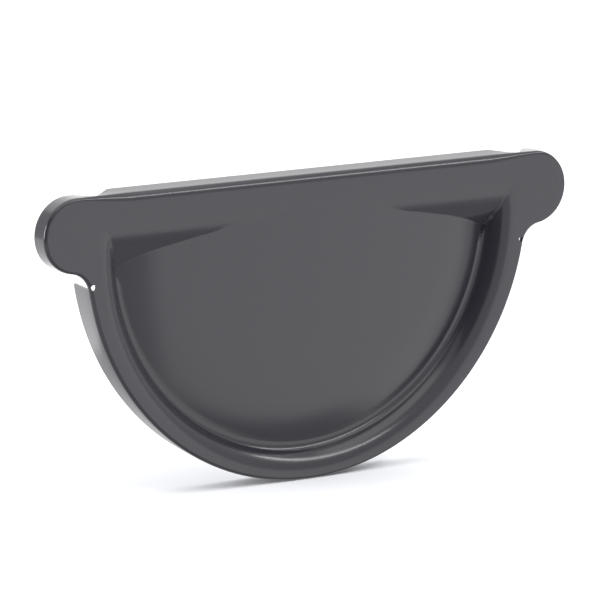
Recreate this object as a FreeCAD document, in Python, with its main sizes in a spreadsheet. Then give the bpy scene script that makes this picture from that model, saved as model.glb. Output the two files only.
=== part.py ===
import FreeCAD, Part
import math
import os
import Sketcher

# End cap for a half-round gutter, pressed from one painted steel sheet.
# X runs across the gutter, Z is up and Y runs along the gutter.
# The origin is on the gutter's axis, in the plane where the gutter's end seats.
# The outer face looks along -Y, and the flanges that wrap the gutter point along +Y.

doc = FreeCAD.newDocument("gutter_end_cap")
vec = FreeCAD.Vector

DIMENSIONS = [
    ("gauge", 0.6),             # steel thickness
    ("skirt_radius", 64.3),     # outside of the round flange
    ("skirt_depth", 9.0),       # round flange, from the outer face to its free edge
    ("skirt_lean", 5.5),        # degrees that the round flange leans inwards
    ("top_height", 11.6),       # top edge above the gutter's axis
    ("top_flange_depth", 5.5),
    ("top_flange_rise", 9.0),   # degrees that the top flange rises towards its free edge
    ("ear_overhang", 2.5),      # ear centres beyond the round flange
    ("ear_radius", 9.2),
    ("ear_flange_depth", 5.0),
    ("neck_radius", 5.7),       # hollow between an ear and the round flange
    ("top_fold", 2.2),          # outside of the fold along the top
    ("edge_fold", 0.9),         # outside of the fold round the ears and the underside
    ("fold_change", 15.8),      # stretch of the top edge, next to each ear, where the fold tightens
    ("notch_setback", 4.6),     # where an ear flange starts, measured in from the ear centre
    ("notch_width", 1.0),
    ("mitre_run", 5.6),         # slanting end of the top flange, along the edge
    ("ear_cut_run", 3.4),       # slanting end of the ear flange, along the edge
    ("slit_drop", 10.4),        # slits between ear and round flange, below the axis
    ("slit_width", 1.2),
    ("neck_gap_height", 4.5),   # opening behind each neck, above its slit
    ("neck_gap_reach", 5.0),    # and how far out it runs from the round flange
    ("relief_radius", 0.7),     # round hole at the inner end of each slit
    ("rim_band", 7.5),          # recess wall at the outer face, inside the round flange
    ("recess_drop", 2.6),       # recess centre below the gutter's axis
    ("wall_draft", 26.0),       # degrees that the recess wall leans
    ("rim_round", 6.0),         # outer corner of the recess wall
    ("floor_round", 2.0),       # inner corner of the recess wall
    ("dome_radius", 430.0),     # crown of the recess floor
    ("shoulder_start", 40.0),   # distance from the middle where the floor falls away faster
    ("shoulder_radius", 60.0),
    ("ramp_drop", 11.4),         # upper line of the sloping recess wall, below the top edge
    ("ramp_slope", 34.0),       # degrees from the outer face
    ("ramp_round", 16.5),
    ("corner_round", 6.5),      # recess corners, at the outer face
    ("corner_setback", 6.41),    # corner centre, measured in from the recess wall
    ("corner_drop", 6.47),      # corner centre below the ramp's upper line
    ("foot_depth", 6.0),        # depth where the lower corner sizes are taken
    ("foot_round", 4.4),
    ("foot_setback", 8.16),
    ("foot_drop", 13.1),
]

# places that follow from the sizes above
PLACES = {
    "dims.ear_offset": "(dims.skirt_radius + dims.ear_overhang)",
    "dims.recess_radius": "(dims.skirt_radius - dims.rim_band)",
    "dims.ramp_top": "(dims.top_height - dims.ramp_drop)",
    "dims.corner_reach": "(dims.skirt_radius - dims.rim_band - dims.corner_setback)",
    "dims.foot_reach": "(dims.skirt_radius - dims.rim_band - dims.foot_setback)",
    "dims.notch_offset": "(dims.skirt_radius + dims.ear_overhang - dims.notch_setback)",
}

dims = doc.addObject("Spreadsheet::Sheet", "dims")
for row, (alias, value) in enumerate(DIMENSIONS, start=1):
    dims.set(f"A{row}", alias)
    dims.set(f"B{row}", str(value))
    dims.setAlias(f"B{row}", alias)
doc.recompute()

MARGIN = 20.0    # how far the working solids and cutters run past the sheet
RING_BAND = 3.0    # height of the pieces that give the flanges their slant


def size(alias):
    """Value of a size, or of a place that follows from several sizes."""
    if "dims." + alias not in PLACES:
        return float(dims.get(alias))
    total = 0.0
    sign = 1
    for word in PLACES["dims." + alias].strip("()").split():
        if word in "+-":
            sign = 1 if word == "+" else -1
        else:
            total += sign * float(dims.get(word.replace("dims.", "")))
    return total


def tie(item, target, formula):
    """Tie a property to a formula over the sheet's sizes."""
    for place, meaning in PLACES.items():
        formula = formula.replace(place, meaning)
    item.setExpression(target, formula)


def planeOf(body, role):
    for item in body.Origin.OriginFeatures:
        if item.Role == role:
            return item


def newSketch(body, name, role):
    sketch = body.newObject("Sketcher::SketchObject", name)
    sketch.AttachmentSupport = (planeOf(body, role), [""])
    sketch.MapMode = "FlatFace"
    return sketch


def bind(sketch, kind, arguments, formula):
    """Add one dimension to a sketch and tie it to the sheet."""
    here = sketch.addConstraint(Sketcher.Constraint(kind, *arguments))
    tie(sketch, f"Constraints[{here}]", formula)


def arcBetween(centre, start, end, radius):
    """Circle arc that runs counter-clockwise from start to end."""
    circle = Part.Circle(vec(*centre, 0), vec(0, 0, 1), radius)
    first = math.atan2(start[1] - centre[1], start[0] - centre[0])
    last = math.atan2(end[1] - centre[1], end[0] - centre[0])
    return Part.ArcOfCircle(circle, first, last)


def line(start, end):
    return Part.LineSegment(vec(*start, 0), vec(*end, 0))


def along(start, direction, distance):
    return (start[0] + direction[0] * distance, start[1] + direction[1] * distance)


def planOutline(body, name, inset, formula):
    """Front view of the cap: flat top, two ears, two hollow necks and the round underside."""
    radius = size("skirt_radius") - inset
    ear = size("ear_radius") - inset
    neck = size("neck_radius") + inset
    top = size("top_height") - inset
    earX = size("ear_offset")
    earZ = top - ear
    reach = math.hypot(earX, earZ)
    spread = math.acos(((radius + neck) ** 2 + reach ** 2 - (ear + neck) ** 2) / (2 * (radius + neck) * reach))
    turn = math.atan2(earZ, earX) - spread
    neckRight = ((radius + neck) * math.cos(turn), (radius + neck) * math.sin(turn))
    neckLeft = (-neckRight[0], neckRight[1])
    lowRight = (radius * math.cos(turn), radius * math.sin(turn))
    lowLeft = (-lowRight[0], lowRight[1])
    share = ear / (ear + neck)
    joinRight = (earX + (neckRight[0] - earX) * share, earZ + (neckRight[1] - earZ) * share)
    joinLeft = (-joinRight[0], joinRight[1])

    wideEnd = earX - size("fold_change")

    sketch = newSketch(body, name, "XZ_Plane")
    sketch.addGeometry([
        line((-wideEnd, top), (wideEnd, top)),
        line((wideEnd, top), (earX, top)),
        arcBetween((earX, earZ), joinRight, (earX, top), ear),
        arcBetween(neckRight, joinRight, lowRight, neck),
        arcBetween((0, 0), lowLeft, lowRight, radius),
        arcBetween(neckLeft, lowLeft, joinLeft, neck),
        arcBetween((-earX, earZ), (-earX, top), joinLeft, ear),
        line((-earX, top), (-wideEnd, top)),
    ], False)
    flat, endR, earR, neckR, round_, neckL, earL, endL = range(8)
    start, end, centre, origin = 1, 2, 3, -1
    for first, firstEnd, second, secondEnd in (
            (endR, end, earR, end), (earR, start, neckR, start), (neckR, end, round_, end),
            (round_, start, neckL, start), (neckL, end, earL, end), (earL, start, endL, start)):
        sketch.addConstraint(Sketcher.Constraint("Tangent", first, firstEnd, second, secondEnd))
    sketch.addConstraint(Sketcher.Constraint("Coincident", flat, end, endR, start))
    sketch.addConstraint(Sketcher.Constraint("Coincident", flat, start, endL, end))
    for index in (flat, endR, endL):
        sketch.addConstraint(Sketcher.Constraint("Horizontal", index))
    sketch.addConstraint(Sketcher.Constraint("Coincident", round_, centre, origin, 1))
    sketch.addConstraint(Sketcher.Constraint("Equal", earR, earL))
    sketch.addConstraint(Sketcher.Constraint("Equal", neckR, neckL))
    bind(sketch, "Radius", (round_, radius), f"dims.skirt_radius - {formula}")
    bind(sketch, "Radius", (earR, ear), f"dims.ear_radius - {formula}")
    bind(sketch, "Radius", (neckR, neck), f"dims.neck_radius + {formula}")
    bind(sketch, "DistanceX", (origin, 1, earR, centre, earX), "dims.ear_offset")
    bind(sketch, "DistanceX", (earL, centre, origin, 1, earX), "dims.ear_offset")
    bind(sketch, "DistanceY", (origin, 1, flat, start, top), f"dims.top_height - {formula}")
    bind(sketch, "DistanceX", (endR, start, endR, end, earX - wideEnd), "dims.fold_change")
    bind(sketch, "DistanceX", (endL, start, endL, end, earX - wideEnd), "dims.fold_change")
    return sketch


def riseForm(name, inset, formula):
    """Wedge on the flat top, which gives the top flange its slight rise."""
    body = doc.addObject("PartDesign::Body", name)
    startY = size("top_fold") - size("gauge")
    high = size("top_height") - inset
    low = high - RING_BAND
    rise = (MARGIN - startY) * math.tan(math.radians(size("top_flange_rise")))
    side = newSketch(body, name + "_side", "YZ_Plane")
    corners = [(startY, high), (MARGIN, high + rise), (MARGIN, low), (startY, low)]
    side.addGeometry([line(corners[i], corners[(i + 1) % 4]) for i in range(4)], False)
    for i in range(4):
        side.addConstraint(Sketcher.Constraint("Coincident", i, 2, (i + 1) % 4, 1))
    side.addConstraint(Sketcher.Constraint("Vertical", 1))
    side.addConstraint(Sketcher.Constraint("Vertical", 3))
    side.addConstraint(Sketcher.Constraint("Horizontal", 2))
    bind(side, "DistanceX", (-1, 1, 0, 1, startY), "dims.top_fold - dims.gauge")
    bind(side, "DistanceX", (-1, 1, 1, 1, MARGIN), str(MARGIN))
    bind(side, "DistanceY", (-1, 1, 0, 1, high), f"dims.top_height - {formula}")
    bind(side, "DistanceY", (3, 1, 3, 2, RING_BAND), str(RING_BAND))
    bind(side, "Angle", (0, math.radians(size("top_flange_rise"))), "dims.top_flange_rise")
    pad = body.newObject("PartDesign::Pad", name + "_pad")
    pad.Profile = side
    pad.Midplane = True
    tie(pad, "Length", "2 * (dims.notch_offset - dims.notch_width / 2)")
    doc.recompute()
    return body


def outlineForm(name, inset, formula, depthFormula):
    """Block with the cap's outline, its front edge rounded and its round side leaning in."""
    body = doc.addObject("PartDesign::Body", name)
    sketch = planOutline(body, name + "_outline", inset, formula)
    tie(sketch, "AttachmentOffset.Base.z", f"dims.gauge - {formula}")
    pad = body.newObject("PartDesign::Pad", name + "_pad")
    pad.Profile = sketch
    pad.Reversed = True
    pad.Refine = False
    tie(pad, "Length", depthFormula)
    doc.recompute()

    # the fold is wide along the top edge, and tightens just before the ears
    front = -size("gauge") + inset
    wide = size("top_fold") - inset
    tight = size("edge_fold") - inset
    rounded = []
    for index, edge in enumerate(body.Shape.Edges, start=1):
        if edge.BoundBox.YMax > front + 0.01:
            continue
        ends = [abs(edge.valueAt(edge.FirstParameter).x), abs(edge.valueAt(edge.LastParameter).x)]
        if edge.Curve.TypeId == "Part::GeomCircle":
            radii = (tight, tight)
        elif abs(ends[0] - ends[1]) < 0.01:
            radii = (wide, wide)
        else:
            radii = (wide, tight) if ends[0] < ends[1] else (tight, wide)
        rounded.append((index, *radii))
    fold = doc.addObject("Part::Fillet", name + "_fold")
    fold.Base = body
    fold.Edges = rounded
    doc.recompute()

    # ring that trims the round side to its lean
    radius = size("skirt_radius") - inset
    startY = size("edge_fold")
    farY = MARGIN
    band = RING_BAND
    drop = (farY - startY) * math.tan(math.radians(size("skirt_lean")))
    ringBody = doc.addObject("PartDesign::Body", name + "_ring")
    ring = newSketch(ringBody, name + "_lean", "YZ_Plane")
    corners = [(startY, -radius), (farY, -radius + drop), (farY, -radius - band), (startY, -radius - band)]
    ring.addGeometry([line(corners[i], corners[(i + 1) % 4]) for i in range(4)], False)
    for i in range(4):
        ring.addConstraint(Sketcher.Constraint("Coincident", i, 2, (i + 1) % 4, 1))
    ring.addConstraint(Sketcher.Constraint("Vertical", 1))
    ring.addConstraint(Sketcher.Constraint("Vertical", 3))
    ring.addConstraint(Sketcher.Constraint("Horizontal", 2))
    bind(ring, "DistanceX", (-1, 1, 0, 1, startY), "dims.edge_fold")
    bind(ring, "DistanceX", (-1, 1, 1, 1, farY), str(MARGIN))
    bind(ring, "DistanceY", (0, 1, -1, 1, radius), f"dims.skirt_radius - {formula}")
    bind(ring, "DistanceY", (3, 1, 3, 2, band), str(band))
    bind(ring, "Angle", (0, math.radians(size("skirt_lean"))), "dims.skirt_lean")
    turned = ringBody.newObject("PartDesign::Revolution", name + "_turn")
    turned.Profile = ring
    turned.ReferenceAxis = (ring, ["H_Axis"])
    turned.Midplane = True
    tie(turned, "Angle", "180 deg - 2 * asin((dims.slit_drop + dims.slit_width / 2) / dims.skirt_radius)")
    lean = doc.addObject("Part::Cut", name + "_leaning")
    lean.Base = fold
    lean.Tool = ringBody
    raised = doc.addObject("Part::Fuse", name + "_raised")
    raised.Base = lean
    raised.Tool = riseForm(name + "_rise", inset, formula)
    doc.recompute()
    return raised


def recessProfile(body, name, inset, formula):
    """Half section of the recess: crowned floor, shoulder, leaning wall and flat rim."""
    front = -size("gauge") + inset
    drop = size("recess_drop")
    draft = math.radians(size("wall_draft"))
    dome = size("dome_radius") - inset
    shoulder = size("shoulder_radius") - inset
    hollow = size("floor_round") + inset
    outer = size("rim_round") - inset
    wallFoot = size("recess_radius") + inset * math.tan(math.pi / 4 - draft / 2)
    # worked in (distance from the recess centre, depth), then turned into sketch places
    normal = (math.cos(draft), math.sin(draft))
    upWall = (-math.sin(draft), math.cos(draft))
    wall = (wallFoot, front)
    domeCentre = (0, front + dome)
    lean = math.asin(size("shoulder_start") / size("dome_radius"))
    spread = (math.sin(lean), -math.cos(lean))
    domeEnd = along(domeCentre, spread, dome)
    shoulderCentre = along(domeEnd, spread, -shoulder)
    foot = along(wall, normal, -hollow)
    away = (foot[0] - shoulderCentre[0], foot[1] - shoulderCentre[1])
    half = away[0] * upWall[0] + away[1] * upWall[1]
    rest = away[0] ** 2 + away[1] ** 2 - (shoulder + hollow) ** 2
    hollowCentre = along(foot, upWall, -half - math.sqrt(half ** 2 - rest))
    gap = (hollowCentre[0] - shoulderCentre[0], hollowCentre[1] - shoulderCentre[1])
    shoulderEnd = along(shoulderCentre, gap, shoulder / (shoulder + hollow))
    wallLow = along(hollowCentre, normal, hollow)
    outerCentre = (wall[0] + outer * math.tan(math.pi / 4 - draft / 2), front + outer)
    wallHigh = along(outerCentre, normal, -outer)
    rimStart = (outerCentre[0], front)
    edge = size("ear_offset") + size("ear_radius") + MARGIN

    def place(point):
        return (point[1], -drop - point[0])

    sketch = newSketch(body, name, "YZ_Plane")
    sketch.addGeometry([
        arcBetween(place(domeCentre), place((0, front)), place(domeEnd), dome),
        arcBetween(place(shoulderCentre), place(domeEnd), place(shoulderEnd), shoulder),
        arcBetween(place(hollowCentre), place(wallLow), place(shoulderEnd), hollow),
        line(place(wallLow), place(wallHigh)),
        arcBetween(place(outerCentre), place(wallHigh), place(rimStart), outer),
        line(place(rimStart), place((edge, front))),
        line(place((edge, front)), place((edge, MARGIN))),
        line(place((edge, MARGIN)), place((0, MARGIN))),
        line(place((0, MARGIN)), place((0, front))),
    ], False)
    domeArc, shoulderArc, hollowArc, wallLine, outerArc, rimLine, sideLine, backLine, axisLine = range(9)
    tangents = ((domeArc, 2, shoulderArc, 1), (shoulderArc, 2, hollowArc, 2), (hollowArc, 1, wallLine, 1),
                (wallLine, 2, outerArc, 1), (outerArc, 2, rimLine, 1))
    for constraint in tangents:
        sketch.addConstraint(Sketcher.Constraint("Tangent", *constraint))
    for constraint in ((rimLine, 2, sideLine, 1), (sideLine, 2, backLine, 1), (backLine, 2, axisLine, 1),
                       (axisLine, 2, domeArc, 1)):
        sketch.addConstraint(Sketcher.Constraint("Coincident", *constraint))
    for index in (rimLine, backLine):
        sketch.addConstraint(Sketcher.Constraint("Vertical", index))
    for index in (sideLine, axisLine):
        sketch.addConstraint(Sketcher.Constraint("Horizontal", index))
    sketch.addConstraint(Sketcher.Constraint("PointOnObject", domeArc, 3, axisLine))
    bind(sketch, "Radius", (domeArc, dome), f"dims.dome_radius - {formula}")
    bind(sketch, "Radius", (shoulderArc, shoulder), f"dims.shoulder_radius - {formula}")
    bind(sketch, "Radius", (hollowArc, hollow), f"dims.floor_round + {formula}")
    bind(sketch, "Radius", (outerArc, outer), f"dims.rim_round - {formula}")
    bind(sketch, "DistanceX", (axisLine, 2, -1, 1, -front), f"dims.gauge - {formula}")
    bind(sketch, "DistanceX", (rimLine, 2, -1, 1, -front), f"dims.gauge - {formula}")
    bind(sketch, "DistanceX", (-1, 1, backLine, 1, MARGIN), str(MARGIN))
    bind(sketch, "DistanceY", (axisLine, 2, -1, 1, drop), "dims.recess_drop")
    bind(sketch, "DistanceY", (domeArc, 2, -1, 1, drop + domeEnd[0]),
         f"dims.recess_drop + dims.shoulder_start * (dims.dome_radius - {formula}) / dims.dome_radius")
    bind(sketch, "DistanceY", (outerArc, 3, -1, 1, drop + outerCentre[0]),
         f"dims.recess_drop + dims.recess_radius + dims.rim_round * tan(45 - dims.wall_draft / 2)")
    bind(sketch, "DistanceY", (rimLine, 2, -1, 1, drop + edge),
         f"dims.recess_drop + dims.ear_offset + dims.ear_radius + {MARGIN}")
    bind(sketch, "Angle", (wallLine, math.atan2(place(wallHigh)[1] - place(wallLow)[1],
                                                place(wallHigh)[0] - place(wallLow)[0])),
         "dims.wall_draft - 180")
    return sketch


def rampProfile(body, name, inset, formula):
    """Side view of the sloping wall under the top band, with its rounded upper line."""
    front = -size("gauge") + inset
    slope = math.radians(size("ramp_slope"))
    bend = size("ramp_round") - inset
    high = size("top_height") + MARGIN
    # the ramp meets the outer face at ramp_top, and its inner side lies one gauge behind
    bendTop = size("ramp_top") + size("ramp_round") * math.tan(slope / 2)
    bendLow = (front + bend - bend * math.cos(slope), bendTop - bend * math.sin(slope))
    run = MARGIN - bendLow[0]
    farLow = (MARGIN, bendLow[1] - run / math.tan(slope))
    sketch = newSketch(body, name, "YZ_Plane")
    sketch.addGeometry([
        line((front, high), (front, bendTop)),
        arcBetween((front + bend, bendTop), (front, bendTop), bendLow, bend),
        line(bendLow, farLow),
        line(farLow, (MARGIN, high)),
        line((MARGIN, high), (front, high)),
    ], False)
    faceLine, bendArc, rampLine, backLine, topLine = range(5)
    sketch.addConstraint(Sketcher.Constraint("Tangent", faceLine, 2, bendArc, 1))
    sketch.addConstraint(Sketcher.Constraint("Tangent", bendArc, 2, rampLine, 1))
    for constraint in ((rampLine, 2, backLine, 1), (backLine, 2, topLine, 1), (topLine, 2, faceLine, 1)):
        sketch.addConstraint(Sketcher.Constraint("Coincident", *constraint))
    sketch.addConstraint(Sketcher.Constraint("Vertical", faceLine))
    sketch.addConstraint(Sketcher.Constraint("Vertical", backLine))
    sketch.addConstraint(Sketcher.Constraint("Horizontal", topLine))
    bind(sketch, "Radius", (bendArc, bend), f"dims.ramp_round - {formula}")
    bind(sketch, "DistanceX", (faceLine, 1, -1, 1, -front), f"dims.gauge - {formula}")
    bind(sketch, "DistanceX", (-1, 1, backLine, 2, MARGIN), str(MARGIN))
    bind(sketch, "DistanceY", (-1, 1, faceLine, 1, high), f"dims.top_height + {MARGIN}")
    bind(sketch, "DistanceY", (-1, 1, faceLine, 2, bendTop),
         "dims.ramp_top + dims.ramp_round * tan(dims.ramp_slope / 2)")
    bind(sketch, "Angle", (rampLine, math.atan2(farLow[1] - bendLow[1], farLow[0] - bendLow[0])),
         "dims.ramp_slope - 90")
    return sketch


def cornerSection(body, name, inset, formula, depth, reach, drop, corner, names):
    """Plan of what lies outside a recess corner at one depth: an arc and four straight sides."""
    deep, across, down, rounding = names
    widen = inset * math.tan(math.pi / 4 - math.radians(size("wall_draft")) / 2)
    lift = inset * math.tan(math.radians(size("ramp_slope")) / 2)
    radius = corner + widen
    centre = (reach, size("ramp_top") - drop - widen + lift)
    end = math.atan2(centre[1] + size("recess_drop"), centre[0])
    top = (centre[0], centre[1] + radius)
    low = (centre[0] + radius * math.cos(end), centre[1] + radius * math.sin(end))
    outX = size("skirt_radius") - size("rim_band") / 3.5
    highZ = size("top_height") - size("ramp_drop") / 2
    corners = [low, (outX, low[1]), (outX, highZ), (centre[0], highZ), top]
    sketch = newSketch(body, name, "XZ_Plane")
    tie(sketch, "AttachmentOffset.Base.z", f"dims.gauge - {formula} - {deep}")
    sketch.addGeometry([arcBetween(centre, low, top, radius)]
                       + [line(corners[i], corners[i + 1]) for i in range(4)], False)
    for first, firstEnd, second, secondEnd in ((0, 1, 1, 1), (1, 2, 2, 1), (2, 2, 3, 1), (3, 2, 4, 1),
                                               (4, 2, 0, 2)):
        sketch.addConstraint(Sketcher.Constraint("Coincident", first, firstEnd, second, secondEnd))
    for kind, index in (("Horizontal", 1), ("Vertical", 2), ("Horizontal", 3), ("Vertical", 4)):
        sketch.addConstraint(Sketcher.Constraint(kind, index))
    widening = f"{formula} * tan(45 - dims.wall_draft / 2)"
    bind(sketch, "Radius", (0, radius), f"{rounding} + {widening}")
    bind(sketch, "DistanceX", (-1, 1, 0, 3, centre[0]), across)
    bind(sketch, "DistanceY", (0, 3, -1, 1, -centre[1]),
         f"{down} - dims.ramp_top + {widening} - {formula} * tan(dims.ramp_slope / 2)")
    bind(sketch, "DistanceX", (-1, 1, 0, 2, centre[0]), across)
    bind(sketch, "DistanceY", (0, 1, 0, 3, centre[1] - low[1]),
         f"-({rounding} + {widening}) * sin({math.degrees(end)})")
    bind(sketch, "DistanceX", (-1, 1, 2, 1, outX), "dims.skirt_radius - dims.rim_band / 3.5")
    bind(sketch, "DistanceY", (-1, 1, 2, 2, highZ), "dims.top_height - dims.ramp_drop / 2")
    return sketch


def cornerForm(name, inset, formula):
    """What lies behind the skin at the right corner of the recess, its rim rounded."""
    body = doc.addObject("PartDesign::Body", name)
    front = cornerSection(body, name + "_face", inset, formula, 0.0, size("corner_reach"), size("corner_drop"),
                          size("corner_round"), ("0", "dims.corner_reach", "dims.corner_drop",
                                                 "dims.corner_round"))
    foot = cornerSection(body, name + "_foot", inset, formula, size("foot_depth"), size("foot_reach"),
                         size("foot_drop"), size("foot_round"),
                         ("dims.foot_depth", "dims.foot_reach", "dims.foot_drop", "dims.foot_round"))
    loft = doc.addObject("Part::Loft", name + "_loft")
    loft.Sections = [front, foot]
    loft.Solid = True
    loft.Ruled = True
    doc.recompute()
    rim = size("rim_round") - inset
    rounded = [(i, rim, rim) for i, edge in enumerate(loft.Shape.Edges, start=1)
               if edge.BoundBox.YMax < -size("gauge") + inset + 0.01 and edge.Curve.TypeId == "Part::GeomCircle"]
    soft = doc.addObject("Part::Fillet", name + "_rim")
    soft.Base = loft
    soft.Edges = rounded
    other = doc.addObject("Part::Mirroring", name + "_left")
    other.Source = soft
    other.Normal = vec(1, 0, 0)
    doc.recompute()
    return [soft, other]


def skinForm(name, inset, formula):
    """Everything behind the revolved recess and the ramp."""
    body = doc.addObject("PartDesign::Body", name + "_dish")
    half = recessProfile(body, name + "_recess", inset, formula)
    turned = body.newObject("PartDesign::Revolution", name + "_turned")
    turned.Profile = half
    turned.ReferenceAxis = (half, ["Edge9"])
    turned.Angle = 360
    doc.recompute()
    side = rampProfile(body, name + "_ramp", inset, formula)
    ramp = body.newObject("PartDesign::Pad", name + "_pad")
    ramp.Profile = side
    ramp.Midplane = True
    tie(ramp, "Length", f"2 * (dims.ear_offset + dims.ear_radius + {MARGIN / 2})")
    doc.recompute()
    return body


def capForm(name, inset, formula, depthFormula):
    """The block behind the skin, with the two recess corners filled in."""
    behind = doc.addObject("Part::Common", name + "_behind")
    behind.Base = outlineForm(name + "_block", inset, formula, depthFormula)
    behind.Tool = skinForm(name + "_skin", inset, formula)
    form = doc.addObject("Part::MultiFuse", name)
    form.Shapes = [behind] + cornerForm(name + "_corner", inset, formula)
    doc.recompute()
    return form


# outer and inner side of the sheet
outerForm = capForm("outer", 0.0, "0", "dims.skirt_depth")
innerForm = capForm("inner", size("gauge"), "dims.gauge", f"{MARGIN - 2}")

pressed = doc.addObject("Part::Cut", "pressed_sheet")
pressed.Base = outerForm
pressed.Tool = innerForm
doc.recompute()


def cutterBox(name, length, width, height, placeX, placeY, placeZ):
    box = doc.addObject("Part::Box", name)
    for target, formula in (("Length", length), ("Width", width), ("Height", height),
                            ("Placement.Base.x", placeX), ("Placement.Base.y", placeY),
                            ("Placement.Base.z", placeZ)):
        tie(box, target, formula)
    return box


REACH = "(dims.ear_offset + dims.ear_radius)"
cutters = [
    # the top flange and the ears are shallower than the round flange
    cutterBox("trim_top", f"2 * {REACH} + {MARGIN}", str(MARGIN), f"dims.top_height + dims.slit_drop + {MARGIN}",
              f"-{REACH} - {MARGIN / 2}", "dims.top_flange_depth - dims.gauge", "-dims.slit_drop"),
]
for side, name in ((1, "right"), (-1, "left")):
    nearX = "dims.notch_offset" if side > 0 else f"-{REACH} - {MARGIN}"
    cutters.append(cutterBox(
        f"trim_ear_{name}", f"{REACH} + {MARGIN} - dims.notch_offset", str(MARGIN),
        f"dims.top_height + dims.slit_drop + {MARGIN}",
        nearX, "dims.ear_flange_depth - dims.gauge", "-dims.slit_drop"))
    slitIn = "dims.skirt_radius - 4 * dims.gauge - dims.edge_fold"
    slitRun = "(4 * dims.gauge + dims.edge_fold + dims.neck_gap_reach)"
    cutters.append(cutterBox(
        f"slit_{name}", slitRun, str(MARGIN), "dims.slit_width + dims.neck_gap_height",
        slitIn if side > 0 else f"-({slitIn}) - {slitRun}",
        "dims.gauge", "-dims.slit_drop - dims.slit_width / 2"))
    relief = doc.addObject("Part::Cylinder", f"relief_{name}")
    tie(relief, "Radius", "dims.relief_radius")
    tie(relief, "Height", f"{MARGIN}")
    relief.Placement = FreeCAD.Placement(vec(0, 0, 0), FreeCAD.Rotation(vec(1, 0, 0), -90))
    across = "sqrt(dims.skirt_radius ^ 2 - dims.slit_drop ^ 2) - dims.gauge - dims.relief_radius / 2"
    tie(relief, "Placement.Base.x", across if side > 0 else f"-({across})")
    tie(relief, "Placement.Base.y", "-2 * dims.gauge")
    tie(relief, "Placement.Base.z", "-dims.slit_drop")
    cutters.append(relief)

# notches between the top flange and the ear flanges, whose ends slant away from them
mitre = doc.addObject("PartDesign::Body", "mitre")
plan = newSketch(mitre, "mitre_plan", "XY_Plane")
for side in (1, -1):
    first = 0 if side > 0 else 6
    notch = size("notch_offset")
    seat = size("gauge")
    topRear = size("top_flange_depth") - size("gauge")
    earRear = size("ear_flange_depth") - size("gauge")
    inner = notch - size("notch_width")
    reach = inner - size("mitre_run")
    outer = notch + size("ear_cut_run")
    points = [(notch, seat), (inner, seat), (reach, topRear), (reach, MARGIN), (outer, MARGIN), (outer, earRear)]
    points = [(side * x, y) for x, y in points]
    plan.addGeometry([line(points[i], points[(i + 1) % 6]) for i in range(6)], False)
    for i in range(6):
        plan.addConstraint(Sketcher.Constraint("Coincident", first + i, 2, first + (i + 1) % 6, 1))
    plan.addConstraint(Sketcher.Constraint("Horizontal", first))
    plan.addConstraint(Sketcher.Constraint("Vertical", first + 2))
    plan.addConstraint(Sketcher.Constraint("Horizontal", first + 3))
    plan.addConstraint(Sketcher.Constraint("Vertical", first + 4))
    places = ((0, 1, notch, "dims.notch_offset"), (0, 2, inner, "(dims.notch_offset - dims.notch_width)"),
              (1, 2, reach, "(dims.notch_offset - dims.notch_width - dims.mitre_run)"),
              (4, 1, outer, "(dims.notch_offset + dims.ear_cut_run)"))
    for index, end, value, formula in places:
        ends = (-1, 1, first + index, end) if side > 0 else (first + index, end, -1, 1)
        bind(plan, "DistanceX", (*ends, value), formula)
    bind(plan, "DistanceY", (-1, 1, first, 1, seat), "dims.gauge")
    bind(plan, "DistanceY", (-1, 1, first + 1, 2, topRear), "dims.top_flange_depth - dims.gauge")
    bind(plan, "DistanceY", (-1, 1, first + 3, 1, MARGIN), str(MARGIN))
    bind(plan, "DistanceY", (-1, 1, first + 4, 2, earRear), "dims.ear_flange_depth - dims.gauge")
tie(plan, "AttachmentOffset.Base.z", "dims.top_height - 2 * dims.top_fold")
mitrePad = mitre.newObject("PartDesign::Pad", "mitre_pad")
mitrePad.Profile = plan
tie(mitrePad, "Length", "4 * dims.top_fold")
cutters.append(mitre)
doc.recompute()

waste = doc.addObject("Part::MultiFuse", "flange_waste")
waste.Shapes = cutters
cap = doc.addObject("Part::Cut", "end_cap_cut")
cap.Base = pressed
cap.Tool = waste
cap.Label = "end_cap"
doc.recompute()

for item in doc.Objects:
    if {"Invalid", "Error"} & set(item.State):
        raise RuntimeError(f"{item.Name}: {item.State}")
shape = cap.Shape
if shape.isNull() or not shape.isValid() or len(shape.Solids) != 1:
    raise RuntimeError(f"end_cap: {len(shape.Solids)} solids, valid {shape.isValid()}")
os.makedirs("parts", exist_ok=True)
shape.exportStep(f"parts/{cap.Label}.step")
box = shape.optimalBoundingBox(True, False)
print("volume", round(shape.Volume, 1), "area", round(shape.Area, 1), "solids", len(shape.Solids))
print("box", [round(v, 2) for v in (box.XMin, box.XMax, box.YMin, box.YMax, box.ZMin, box.ZMax)])
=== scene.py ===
import math
import bmesh
import bpy
from mathutils import Matrix, Vector


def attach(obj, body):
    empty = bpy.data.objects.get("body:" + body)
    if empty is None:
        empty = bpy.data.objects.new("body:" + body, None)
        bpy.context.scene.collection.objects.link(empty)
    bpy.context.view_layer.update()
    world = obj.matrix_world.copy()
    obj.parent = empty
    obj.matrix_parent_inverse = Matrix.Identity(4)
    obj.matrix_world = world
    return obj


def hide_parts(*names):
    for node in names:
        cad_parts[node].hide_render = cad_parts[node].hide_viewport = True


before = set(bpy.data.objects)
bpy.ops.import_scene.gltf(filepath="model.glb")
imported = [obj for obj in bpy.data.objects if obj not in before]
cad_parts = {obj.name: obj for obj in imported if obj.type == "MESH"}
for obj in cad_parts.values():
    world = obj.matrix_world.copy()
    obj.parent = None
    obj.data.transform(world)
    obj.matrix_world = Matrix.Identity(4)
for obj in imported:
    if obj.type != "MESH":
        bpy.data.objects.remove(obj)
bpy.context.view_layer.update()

mm = 0.001

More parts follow.
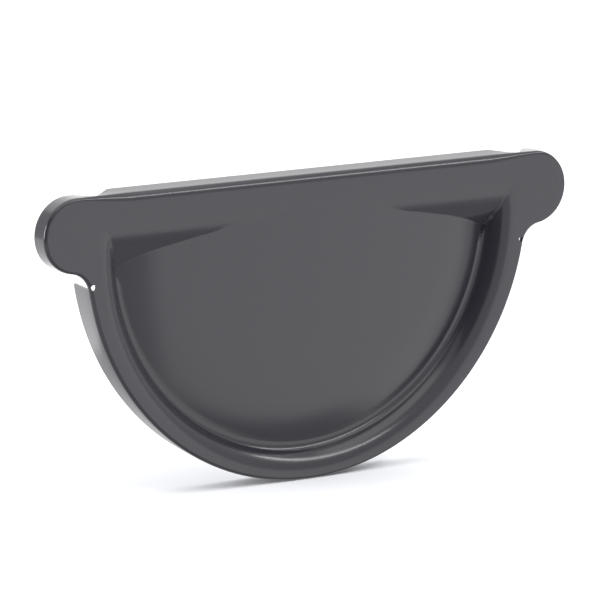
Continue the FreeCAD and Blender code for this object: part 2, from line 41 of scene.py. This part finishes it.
# sizes in millimetres and degrees, in the frame of the part: X across, Z up, Y from the outer face
# into the gutter
cap = {
    "gauge": 0.6,
    "roundRadius": 64.28,
    "roundDepth": 8.4,  # free edges of the flanges, behind the gutter's end
    "roundLean": 5.5,  # degrees that the round flange draws in
    "topHeight": 11.6,
    "topDepth": 4.9,
    "topRise": 9.0,  # degrees that the top flange climbs to the back
    "earOffset": 66.8,
    "earRadius": 9.2,
    "earDepth": 4.4,
    "neckRadius": 5.7,  # hollow between ear and round flange
    "topFold": 2.2,  # outside of the folds
    "edgeFold": 0.9,
    "foldChange": 15.8,  # run over which the top fold tightens to the ear's
    "notchOffset": 62.2,  # notch between top flange and ear flange
    "notchWidth": 1.0,
    "mitreRun": 5.6,
    "earCutRun": 3.4,
    "neckGapReach": 69.3,  # where the ear's flange ends
    "slitDrop": 10.4,  # slit above the round flange, with a relief hole at its inner end
    "slitWidth": 1.2,
    "reliefRadius": 0.7,
    "recessRadius": 56.8,
    "recessDrop": 2.6,
    "wallDraft": 26.0,  # degrees of the round wall off the pressing direction
    "rimRound": 6.0,
    "floorRound": 2.0,
    "creaseRound": 0.7,
    "domeRadius": 430.0,  # panel, bending down faster from shoulderStart outwards
    "shoulderStart": 40.0,
    "shoulderRadius": 60.0,
    "rampTop": 0.2,  # sloping upper wall
    "rampSlope": 34.0,
    "rampRound": 16.5,
    "cornerRound": 6.5,  # corners of the recess at the face, then at their foot
    "cornerReach": 50.39,
    "cornerDrop": 6.47,
    "footDepth": 6.0,
    "footRound": 4.4,
    "footReach": 48.64,
    "footDrop": 13.1,
}

# how finely the sheet is drawn: counts, and the places of the points down each column
grain = {
    "topColumns": 60,
    "earColumns": 26,
    "sideColumns": 56,
    "lowTurn": 48.0,  # degrees below level where the side columns end
    "earSweep": 0.5,  # how far the ear's columns fan round the rim past its corner, in radians
    "earEase": 0.9,
    "neckShares": (0.1, 0.25, 0.42, 0.6, 0.8, 1.0),
    "slitSteps": 6,
    "foldSteps": 8,
    "flangeRings": 3,
    "holeSides": 24,
    "spineHalf": 34.0,  # line on the panel where all columns end
    "spineDrop": 15.0,
    "rimReach": 4.0,  # closely drawn strip outside the rim
    "bandShares": (0.14, 0.3, 0.5, 0.7, 0.88),
    "tightShares": (0.05, 0.1, 0.15, 0.2, 0.24),
    "tightReach": 0.74,
    "rimShares": (1.0, 0.85, 0.7, 0.54, 0.38, 0.22, 0.08),
    "lipShares": (0.12, 0.34, 0.56, 0.78, 1.0),
    "wallShares": (0.15, 0.3, 0.45, 0.6, 0.75, 0.9),
    "footShares": (-1.0, -0.7, -0.42, -0.16),
    "floorSteps": (0.1, 0.34, 0.6, 0.88, 1.2, 1.6),
    "panelShares": (0.04, 0.09, 0.15, 0.22, 0.3, 0.4, 0.5, 0.6, 0.7, 0.8, 0.9, 1.0),
}

noWall = 99.0  # depth that stands for no wall at this place
hair = 1e-6
weld = 0.0001 * mm


# hex colour to the linear values that shaders take
def srgb(code, alpha=1.0):
    parts = [int(code[i:i + 2], 16) / 255 for i in (1, 3, 5)]
    return [c / 12.92 if c <= 0.04045 else ((c + 0.055) / 1.055) ** 2.4 for c in parts] + [alpha]


def addNode(tree, kind, values=None, **settings):
    node = tree.nodes.new(kind)
    for key, value in settings.items():
        setattr(node, key, value)
    for key, value in (values or {}).items():
        node.inputs[key].default_value = value
    return node


def newMaterial(name):
    made = bpy.data.materials.new(name)
    made.use_nodes = True
    made.node_tree.nodes.clear()
    output = addNode(made.node_tree, "ShaderNodeOutputMaterial")
    return made, made.node_tree, output


# point at this turn on a circle of radius 1
def around(angle):
    return Vector((math.cos(angle), math.sin(angle)))


# depth of the pressed face behind its front plane: the panel, the round wall, the sloping upper wall
def domeDepth(x, z):
    c = cap
    away = math.hypot(x, z + c["recessDrop"])
    start = c["shoulderStart"]
    radius = c["domeRadius"]
    if away <= start:
        return radius - math.sqrt(radius ** 2 - away ** 2)
    turn = math.asin(start / radius)
    small = c["shoulderRadius"]
    centreAway = start - small * math.sin(turn)
    centreDeep = radius - (radius - small) * math.cos(turn)
    return centreDeep - math.sqrt(small ** 2 - min(away - centreAway, small * 0.9) ** 2)


def wallDepth(x, z):
    away = math.hypot(x, z + cap["recessDrop"])
    return (cap["recessRadius"] - away) / math.tan(math.radians(cap["wallDraft"]))


def rampDepth(x, z):
    return (cap["rampTop"] - z) * math.tan(math.radians(cap["rampSlope"]))


# the slanting cone that turns the ramp into the round wall
def cornerDepth(x, z):
    c = cap
    x = abs(x)
    startX, startZ, startR = c["cornerReach"], c["rampTop"] - c["cornerDrop"], c["cornerRound"]
    stepX = (c["footReach"] - startX) / c["footDepth"]
    stepZ = (c["rampTop"] - c["footDrop"] - startZ) / c["footDepth"]
    stepR = (c["footRound"] - startR) / c["footDepth"]
    offX, offZ = x - startX, z - startZ
    a = stepX ** 2 + stepZ ** 2 - stepR ** 2
    b = -2 * (offX * stepX + offZ * stepZ + startR * stepR)
    k = offX ** 2 + offZ ** 2 - startR ** 2
    root = b * b - 4 * a * k
    if root < 0:
        return noWall
    depth = (-b - math.sqrt(root)) / (2 * a)
    centreX, centreZ = startX + stepX * depth, startZ + stepZ * depth
    turn = math.atan2(z - centreZ, x - centreX)
    lowest = math.atan2(centreZ + c["recessDrop"], centreX)
    if turn < lowest - 0.02 or x < centreX:
        return noWall
    return depth


# how fast a depth grows across and upwards
def slopeOf(field, x, z, step=0.02):
    return Vector(((field(x + step, z) - field(x - step, z)) / (2 * step),
                   (field(x, z + step) - field(x, z - step)) / (2 * step)))


# the smaller of two depths, with a round corner of this radius where they cross
def roundedLow(first, firstSlope, second, secondSlope, radius):
    across = firstSlope - secondSlope
    steep = across.length
    if steep < hair:
        return min(first, second)
    along = across / steep
    side = Vector((-along.y, along.x))
    shrink = 1 / math.sqrt(1 + firstSlope.dot(side) ** 2)
    a, b = firstSlope.dot(along) * shrink, secondSlope.dot(along) * shrink
    place = (first - second) / steep
    longA, longB = math.sqrt(1 + a * a), math.sqrt(1 + b * b)
    middle = radius * (longA - longB) / (a - b)
    low, high = middle - radius * a / longA, middle - radius * b / longB
    if low < place < high:
        arc = a * middle - radius * longA + math.sqrt(radius ** 2 - (place - middle) ** 2)
        return first + (arc - a * place) / shrink
    return min(first, second)


# depth of the outer side of the sheet: each wall is rounded into the face, then into the panel
def sheetDepth(x, z):
    fields = [(rampDepth, cap["rampRound"]), (wallDepth, cap["rimRound"]), (cornerDepth, cap["rimRound"])]
    steps = []
    for field, rounding in fields:
        value = field(x, z)
        if value >= noWall:
            continue
        slope = slopeOf(field, x, z)
        if slope.length > 20:
            continue
        flat = -roundedLow(-value, -slope, 0.0, Vector((0, 0)), rounding)
        steps.append((flat, value, slope, field))
    flat, value, slope, field = min(steps, key=lambda step: step[0])
    floor = domeDepth(x, z)
    rounding = cap["creaseRound"] if field is rampDepth else cap["floorRound"]
    if value > 0.6:
        return roundedLow(flat, slope, floor, slopeOf(domeDepth, x, z), rounding)
    return min(flat, floor)


# where the neck touches the round flange, with the centres of neck and ear
def neckPlaces():
    c = cap
    radius, neck, ear = c["roundRadius"], c["neckRadius"], c["earRadius"]
    earX, earZ = c["earOffset"], c["topHeight"] - ear
    reach = math.hypot(earX, earZ)
    spread = math.acos(((radius + neck) ** 2 + reach ** 2 - (ear + neck) ** 2) /
                       (2 * (radius + neck) * reach))
    turn = math.atan2(earZ, earX) - spread
    centre = Vector((math.cos(turn), math.sin(turn))) * (radius + neck)
    return turn, centre, Vector((earX, earZ))


# columns of the right half, from the top middle round to the bottom: each starts on the outline, crosses
# the rim of the recess and ends on the spine of the panel
def outlineColumns():
    c, g = cap, grain
    turn, neckCentre, earCentre = neckPlaces()
    columns = []

    def add(place, normal, fold, kind, rim, spine, gap=False):
        columns.append({"place": Vector(place), "normal": Vector(normal), "fold": fold, "kind": kind,
                        "rim": Vector(rim), "spine": Vector(spine), "gap": gap})

    spineX, spineZ = g["spineHalf"], -g["spineDrop"]
    count = g["topColumns"]
    for i in range(count):
        x = c["cornerReach"] * i / count
        add((x, c["topHeight"]), (0, 1), c["topFold"], "top", (x, c["rampTop"]), (spineX * i / count, spineZ))

    # top edge beside the notch, where the fold tightens
    pieces = []
    notch = c["notchOffset"] - c["notchWidth"]
    mitre = notch - c["mitreRun"]
    wideEnd = c["earOffset"] - c["foldChange"]
    places = [c["cornerReach"] + (mitre - c["cornerReach"]) * k / 3 for k in range(3)]
    places += [mitre + c["mitreRun"] * k / 4 for k in range(5)]
    places += [c["notchOffset"] + c["earCutRun"] * k / 3 for k in range(4)]
    for x in places:
        share = (x - wideEnd) / c["foldChange"]
        share = share * share * (3 - 2 * share)
        pieces.append(((x, c["topHeight"]), (0, 1), c["topFold"] + (c["edgeFold"] - c["topFold"]) * share,
                       "top" if x < c["notchOffset"] - 0.01 else "ear", False))

    # ear, down to where its flange ends, then the neck above the round flange
    toNeck = neckCentre - earCentre
    joinTurn = math.atan2(toNeck.y, toNeck.x)
    flangeEnd = -math.acos((c["neckGapReach"] - c["earOffset"]) / c["earRadius"])
    steps = g["earColumns"]
    turns = [math.pi / 2 + (flangeEnd - math.pi / 2) * i / steps for i in range(steps + 1)]
    turns += [(flangeEnd + joinTurn) / 2, joinTurn]
    for angle in turns:
        pieces.append((earCentre + around(angle) * c["earRadius"], around(angle), c["edgeFold"], "ear",
                       angle < flangeEnd + hair))
    top = neckCentre.y + c["neckRadius"] * math.sin(joinTurn + math.pi)
    low = neckCentre.y + c["neckRadius"] * math.sin(math.pi + turn)
    slitTop, slitLow = -c["slitDrop"] + c["slitWidth"], -c["slitDrop"] - c["slitWidth"] / 2
    heights = [top + (slitTop - top) * share for share in g["neckShares"]]
    steps = g["slitSteps"]
    heights += [slitTop + (slitLow - slitTop) * k / steps for k in range(1, steps + 1)] + [low]
    for z in heights:
        angle = math.pi - math.asin((z - neckCentre.y) / c["neckRadius"])
        pieces.append((neckCentre + around(angle) * c["neckRadius"], -around(angle), c["edgeFold"],
                       "round" if z < slitLow + hair else "ear", z > slitLow - hair))

    cornerCentre = Vector((c["cornerReach"], c["rampTop"] - c["cornerDrop"]))
    lowest = math.atan2(cornerCentre.y + c["recessDrop"], cornerCentre.x)
    recessCentre = Vector((0, -c["recessDrop"]))
    last = lowest - g["earSweep"]
    for i, (place, normal, fold, kind, gap) in enumerate(pieces):
        share = i / (len(pieces) - 1)
        angle = math.pi / 2 + (last - math.pi / 2) * share ** g["earEase"]
        if angle > lowest:
            rim = cornerCentre + around(angle) * c["cornerRound"]
        else:
            rim = recessCentre + around(lowest + (angle - lowest) * c["cornerRound"] / c["recessRadius"]) \
                * c["recessRadius"]
        add(place, normal, fold, kind, rim, (spineX, spineZ), gap)

    # round underside
    lowTurn = -math.radians(g["lowTurn"])
    rimTurn = math.atan2(columns[-1]["rim"].y + c["recessDrop"], columns[-1]["rim"].x)
    count = g["sideColumns"]
    for i in range(1, count + 1):
        outer = around(turn + (lowTurn - turn) * i / count)
        inner = around(rimTurn + (lowTurn - rimTurn) * i / count)
        add(outer * c["roundRadius"], outer, c["edgeFold"], "round", recessCentre + inner * c["recessRadius"],
            (spineX, spineZ))
    count = g["topColumns"]
    for i in range(1, count + 1):
        way = around(lowTurn + (-math.pi / 2 - lowTurn) * i / count)
        add(way * c["roundRadius"], way, c["edgeFold"], "round", recessCentre + way * c["recessRadius"],
            (spineX * (1 - i / count), spineZ))
    return columns


# how far back the flange reaches at this column
def flangeDepth(column):
    c = cap
    x = column["place"].x
    if column["kind"] == "round":
        return c["roundDepth"]
    if column["kind"] == "ear":
        share = (x - c["notchOffset"]) / c["earCutRun"] if column["normal"].y > 0.99 else 1
        return c["gauge"] + (c["earDepth"] - c["gauge"]) * min(share, 1)
    share = (c["notchOffset"] - c["notchWidth"] - x) / c["mitreRun"]
    return c["gauge"] + (c["topDepth"] - c["gauge"]) * min(share, 1)


# where the wall, ramp or corner meets the domed floor on the way from the rim to the middle
def floorCrossing(rim, inward, length):
    def above(s):
        p = rim + inward * s
        return min(field(p.x, p.y) for field in (rampDepth, wallDepth, cornerDepth)) - domeDepth(p.x, p.y)

    step = 0.2
    far = step
    while above(far) < 0 and far < length - step:
        far += step
    near = far - step
    for _ in range(30):
        middle = (near + far) / 2
        if above(middle) < 0:
            near = middle
        else:
            far = middle
    return max(far, 0.05)


# places down one column, from the flange's free edge over the fold and the rim to the middle
def columnPoints(column):
    c, g = cap, grain
    place, normal, fold = column["place"], column["normal"], column["fold"]
    depth = flangeDepth(column)
    foldEnd = fold - c["gauge"]
    base = min(max(foldEnd, c["gauge"]), depth)
    points = []
    for i in range(g["flangeRings"] + 1):
        y = depth + (base - depth) * i / g["flangeRings"]
        move = Vector((0, 0))
        if column["kind"] == "round":
            move = -normal * max(y - c["edgeFold"], 0) * math.tan(math.radians(c["roundLean"]))
        elif column["kind"] == "top":
            move = normal * max(y - c["topFold"] + c["gauge"], 0) * math.tan(math.radians(c["topRise"]))
        if y < foldEnd:
            move = -normal * (fold - math.sqrt(max(fold ** 2 - (foldEnd - y) ** 2, 0)))
        points.append(Vector((place.x + move.x, y, place.y + move.y)))
    limit = math.acos(1 - (base + c["gauge"]) / fold) if base < foldEnd else math.pi / 2
    for i in range(g["foldSteps"] + 1):
        angle = min(limit, math.pi / 2 * (1 - i / g["foldSteps"]))
        spot = place - normal * fold * (1 - math.sin(angle))
        points.append(Vector((spot.x, fold * (1 - math.cos(angle)) - c["gauge"], spot.y)))

    edge = place - normal * fold
    rim, spine = column["rim"], column["spine"]
    outward = edge - rim
    gap = outward.length
    outward = outward / gap
    strip = g["rimReach"]
    if gap > strip:
        plan = [edge + (rim + outward * strip - edge) * share for share in g["bandShares"]]
    else:
        plan = [edge + (rim - edge) * share for share in g["tightShares"]]
    reach = min(strip, gap * g["tightReach"])
    plan += [rim + outward * reach * share for share in g["rimShares"]]

    inward = spine - rim
    length = inward.length
    inward = inward / length
    crossing = floorCrossing(rim, inward, length)
    top = min(1.0, crossing * 0.35)
    near = min(0.75, crossing * 0.3)
    inside = [top * share for share in g["lipShares"]]
    inside += [top + (crossing - near - top) * share for share in g["wallShares"]]
    inside += [crossing + near * share for share in g["footShares"]]
    inside += [crossing + step for step in g["floorSteps"]]
    last = inside[-1]
    inside += [last + (length - last) * share for share in g["panelShares"]]
    plan += [rim + inward * s for s in inside]
    for spot in plan:
        points.append(Vector((spot.x, sheetDepth(spot.x, spot.y) - c["gauge"], spot.y)))
    return points


def smoothPart(obj, sharp):
    obj.data.polygons.foreach_set("use_smooth", [True] * len(obj.data.polygons))
    obj.data.set_sharp_from_angle(angle=math.radians(sharp))
    obj.data.update()


def makeObject(name, mesh):
    obj = bpy.data.objects.new(name, mesh)
    bpy.context.scene.collection.objects.link(obj)
    return obj


def meshFrom(name, bm):
    mesh = bpy.data.meshes.new(name)
    bm.to_mesh(mesh)
    bm.free()
    return mesh


# round hole at the inner end of each slit, where the face starts to fold
def reliefHole(bm, side):
    c = cap
    reach = math.sqrt(c["roundRadius"] ** 2 - c["slitDrop"] ** 2) - c["gauge"] - c["reliefRadius"] / 2
    centre = Vector((side * reach, 0, -c["slitDrop"])) * mm

    def away(point):
        return math.hypot(point.x - centre.x, point.z - centre.z)

    near = [f for f in bm.faces if f.calc_center_median().y < -0.2 * mm and
            min(away(v.co) for v in f.verts) < (c["reliefRadius"] + 0.2) * mm]
    rimEdges = {e for f in near for e in f.edges if any(other not in near for other in e.link_faces)}
    bmesh.ops.delete(bm, geom=near, context="FACES")
    turned = Matrix.Translation(centre) @ Matrix.Rotation(math.pi / 2, 4, "X")
    ring = bmesh.ops.create_circle(bm, segments=grain["holeSides"], radius=c["reliefRadius"] * mm,
                                   matrix=turned)
    for vert in ring["verts"]:
        over = math.hypot(vert.co.x, vert.co.z) / mm - c["roundRadius"] + c["edgeFold"]
        over = min(max(over, 0), c["edgeFold"])
        vert.co.y = (c["edgeFold"] - math.sqrt(c["edgeFold"] ** 2 - over ** 2) - c["gauge"]) * mm
    ringEdges = {e for v in ring["verts"] for e in v.link_edges}
    bmesh.ops.bridge_loops(bm, edges=list(rimEdges | ringEdges))


# the whole cap as one skin: a grid bent to the outline, opened at the notches and slits, mirrored
def pressedSheet():
    columns = outlineColumns()
    lines = [columnPoints(column) for column in columns]
    across, down = len(lines), len(lines[0])
    bm = bmesh.new()
    bmesh.ops.create_grid(bm, x_segments=across - 1, y_segments=down - 1, size=1)
    spot = {}
    for vert in bm.verts:
        spot[vert] = (round((vert.co.x + 1) / 2 * (across - 1)), round((vert.co.y + 1) / 2 * (down - 1)))
    for vert, (i, k) in spot.items():
        vert.co = lines[i][k] * mm
    opened = [f for f in bm.faces if all(columns[spot[v][0]]["gap"] for v in f.verts) and
              min(spot[v][1] for v in f.verts) < grain["flangeRings"]]
    bmesh.ops.delete(bm, geom=opened, context="FACES")
    bmesh.ops.remove_doubles(bm, verts=bm.verts, dist=weld)
    bmesh.ops.dissolve_degenerate(bm, dist=weld, edges=bm.edges)
    bmesh.ops.mirror(bm, geom=bm.verts[:] + bm.edges[:] + bm.faces[:], axis="X", merge_dist=weld)
    bmesh.ops.remove_doubles(bm, verts=bm.verts, dist=weld)
    bmesh.ops.delete(bm, geom=[v for v in bm.verts if not v.link_faces], context="VERTS")
    for side in (1, -1):
        reliefHole(bm, side)
    bmesh.ops.recalc_face_normals(bm, faces=bm.faces)
    middle = min(bm.faces, key=lambda f: (f.calc_center_median() - Vector((0, -cap["gauge"], 6)) * mm).length)
    if middle.normal.y > 0:
        bmesh.ops.reverse_faces(bm, faces=bm.faces)
    bm.normal_update()
    bmesh.ops.solidify(bm, geom=bm.faces[:], thickness=cap["gauge"] * mm)
    return makeObject("pressedSheet", meshFrom("pressedSheet", bm))


# coil-coated steel in satin anthracite: a dark smooth coat that shows soft lamps as clear streaks, with
# waves about a millimetre long that only just break up a reflection
paint = {
    "colour": "#2a2a30",
    "roughness": 0.2,
    "ior": 1.5,
    "waveScale": 900.0,  # waves per metre
    "waveStrength": 0.06,
    "waveHeight": 0.0001,
}


def satinPaint():
    made, tree, output = newMaterial("satinPaint")
    shader = addNode(tree, "ShaderNodeBsdfPrincipled", {
        "Base Color": srgb(paint["colour"]),
        "Roughness": paint["roughness"],
        "IOR": paint["ior"],
    })
    place = addNode(tree, "ShaderNodeTexCoord")
    waves = addNode(tree, "ShaderNodeTexNoise", {"Scale": paint["waveScale"], "Detail": 2.0})
    bump = addNode(tree, "ShaderNodeBump", {
        "Strength": paint["waveStrength"],
        "Distance": paint["waveHeight"],
    })
    tree.links.new(place.outputs["Object"], waves.inputs["Vector"])
    tree.links.new(waves.outputs["Fac"], bump.inputs["Height"])
    tree.links.new(bump.outputs["Normal"], shader.inputs["Normal"])
    tree.links.new(shader.outputs["BSDF"], output.inputs["Surface"])
    return made


sheet = pressedSheet()
smoothPart(sheet, 24)
sheet.data.materials.clear()
sheet.data.materials.append(satinPaint())
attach(sheet, "root")
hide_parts("end_cap")
print("sheet", len(sheet.data.polygons), "faces")

# the table, a plain pale surface that keeps the cap's shadow
table = {
    "colour": "#ffffff",
    "half": 3.0,
}

# what the background shows, and the fainter glow that lights the cap; 1 is white
sky = {
    "seenColour": "#ffffff",
    "seenGlow": 1.0,
    "colour": "#f6f8ff",
    "glow": 0.75,
}

# soft lamps, with places and sizes in metres; a glow of 1 is as bright as white
lamps = {
    "rightStrip": {"place": (0.52, -0.48, 0.67), "size": (0.95, 0.1), "glow": 10.0, "aim": (0, 0, -0.02)},
    "leftBox": {"place": (-1.0, 0.3, 0.1), "size": (0.45, 0.5), "glow": 10.0, "aim": (0, 0, -0.02)},
    "topBox": {"place": (0.0, -0.1, 1.3), "size": (1.5, 1.5), "glow": 1.3, "aim": (0, 0, 0)},
    "backdrop": {"place": (0.6, 1.1, 0.55), "size": (2.2, 1.1), "glow": 1.0, "aim": (0, 0, 0)},
    "backCard": {"place": (-0.13, 0.2, -0.06), "size": (0.26, 0.26), "glow": 1.2, "aim": (-0.13, 0.2, 1)},
}

# cards that only reflections see: the light in front, the dim table and the dark side of the room
cards = {
    "frontGlow": {"place": (0.59, -0.81, -0.29), "size": (1.0, 0.85), "glow": 1.9},
    "lowShade": {"place": (0.0, 0.0, -0.5), "size": (1.15, 1.15), "glow": 0.6},
    "leftShade": {"place": (-1.5, -0.75, 0.35), "size": (2.4, 1.9), "glow": 0.05},
}

# a long lens from the upper left, with angles in degrees and lengths in millimetres
view = {
    "lens": 336.8,
    "azimuth": -33.65,
    "elevation": 11.22,
    "roll": 0.65,
    "distance": 1364.9,
    "aimRight": -3.25,
    "aimUp": -19.16,
}


def makeFloor():
    bm = bmesh.new()
    bmesh.ops.create_grid(bm, x_segments=1, y_segments=1, size=table["half"])
    bmesh.ops.translate(bm, verts=bm.verts, vec=(0, 0, -cap["roundRadius"] * mm))
    floor = makeObject("floor", meshFrom("floor", bm))
    made, tree, output = newMaterial("tableTop")
    shader = addNode(tree, "ShaderNodeBsdfDiffuse", {"Color": srgb(table["colour"])})
    tree.links.new(shader.outputs["BSDF"], output.inputs["Surface"])
    floor.data.materials.append(made)
    floor.visible_glossy = False  # reflections see lowShade there


# the cards stand far enough away to look the same from every spot of the cap
def makeCard(name, place, size, glow):
    bm = bmesh.new()
    bmesh.ops.create_grid(bm, x_segments=1, y_segments=1, size=0.5)
    bmesh.ops.scale(bm, verts=bm.verts, vec=(size[0], size[1], 1))
    card = makeObject(name, meshFrom(name, bm))
    card.rotation_mode = "QUATERNION"
    card.location = place
    card.rotation_quaternion = Vector(place).to_track_quat("Z", "Y")
    made, tree, output = newMaterial(name)
    shader = addNode(tree, "ShaderNodeEmission", {"Color": srgb("#ffffff"), "Strength": glow})
    tree.links.new(shader.outputs["Emission"], output.inputs["Surface"])
    made.cycles.emission_sampling = "NONE"
    card.data.materials.append(made)
    card.visible_camera = False
    card.visible_diffuse = False
    card.visible_shadow = False


def makeWorld():
    world = bpy.data.worlds.new("studio")
    bpy.context.scene.world = world
    world.use_nodes = True
    tree = world.node_tree
    tree.nodes.clear()
    output = addNode(tree, "ShaderNodeOutputWorld")
    seen = addNode(tree, "ShaderNodeBackground", {
        "Color": srgb(sky["seenColour"]),
        "Strength": sky["seenGlow"],
    })
    glow = addNode(tree, "ShaderNodeBackground", {"Color": srgb(sky["colour"]), "Strength": sky["glow"]})
    path = addNode(tree, "ShaderNodeLightPath")
    either = addNode(tree, "ShaderNodeMath", operation="MAXIMUM")
    pick = addNode(tree, "ShaderNodeMixShader")
    tree.links.new(path.outputs["Is Camera Ray"], either.inputs[0])
    tree.links.new(path.outputs["Is Glossy Ray"], either.inputs[1])
    tree.links.new(either.outputs["Value"], pick.inputs["Fac"])
    tree.links.new(glow.outputs["Background"], pick.inputs[1])
    tree.links.new(seen.outputs["Background"], pick.inputs[2])
    tree.links.new(pick.outputs["Shader"], output.inputs["Surface"])


def makeLamp(name, place, size, glow, aim):
    data = bpy.data.lights.new(name, "AREA")
    data.shape = "RECTANGLE"
    data.size, data.size_y = size
    data.energy = glow * math.pi * size[0] * size[1]
    lamp = bpy.data.objects.new(name, data)
    bpy.context.scene.collection.objects.link(lamp)
    lamp.location = place
    lamp.visible_camera = False
    lamp.rotation_mode = "QUATERNION"
    lamp.rotation_quaternion = (Vector(place) - Vector(aim)).to_track_quat("Z", "Y")


def makeCamera():
    azimuth, elevation, roll = (math.radians(view[key]) for key in ("azimuth", "elevation", "roll"))
    level = math.cos(elevation)
    back = Vector((math.sin(azimuth) * level, -math.cos(azimuth) * level, math.sin(elevation)))
    right = Vector((math.cos(azimuth), math.sin(azimuth), 0))
    up = back.cross(right)
    turnedRight = right * math.cos(roll) + up * math.sin(roll)
    turnedUp = -right * math.sin(roll) + up * math.cos(roll)
    aim = (turnedRight * view["aimRight"] + turnedUp * view["aimUp"] + Vector((0, -cap["gauge"], 0))) * mm
    data = bpy.data.cameras.new("camera")
    data.sensor_width = 36
    data.lens = view["lens"]
    data.clip_start, data.clip_end = 0.05, 20
    camera = bpy.data.objects.new("camera", data)
    bpy.context.scene.collection.objects.link(camera)
    camera.rotation_mode = "QUATERNION"
    camera.location = aim + back * view["distance"] * mm
    camera.rotation_quaternion = Matrix((turnedRight, turnedUp, back)).transposed().to_quaternion()
    bpy.context.scene.camera = camera


makeFloor()
for name, card in cards.items():
    makeCard(name, **card)
makeWorld()
for name, lamp in lamps.items():
    makeLamp(name, **lamp)
makeCamera()
bpy.context.scene.view_settings.view_transform = "Standard"
print("studio", len(lamps), "lamps", len(cards), "cards")
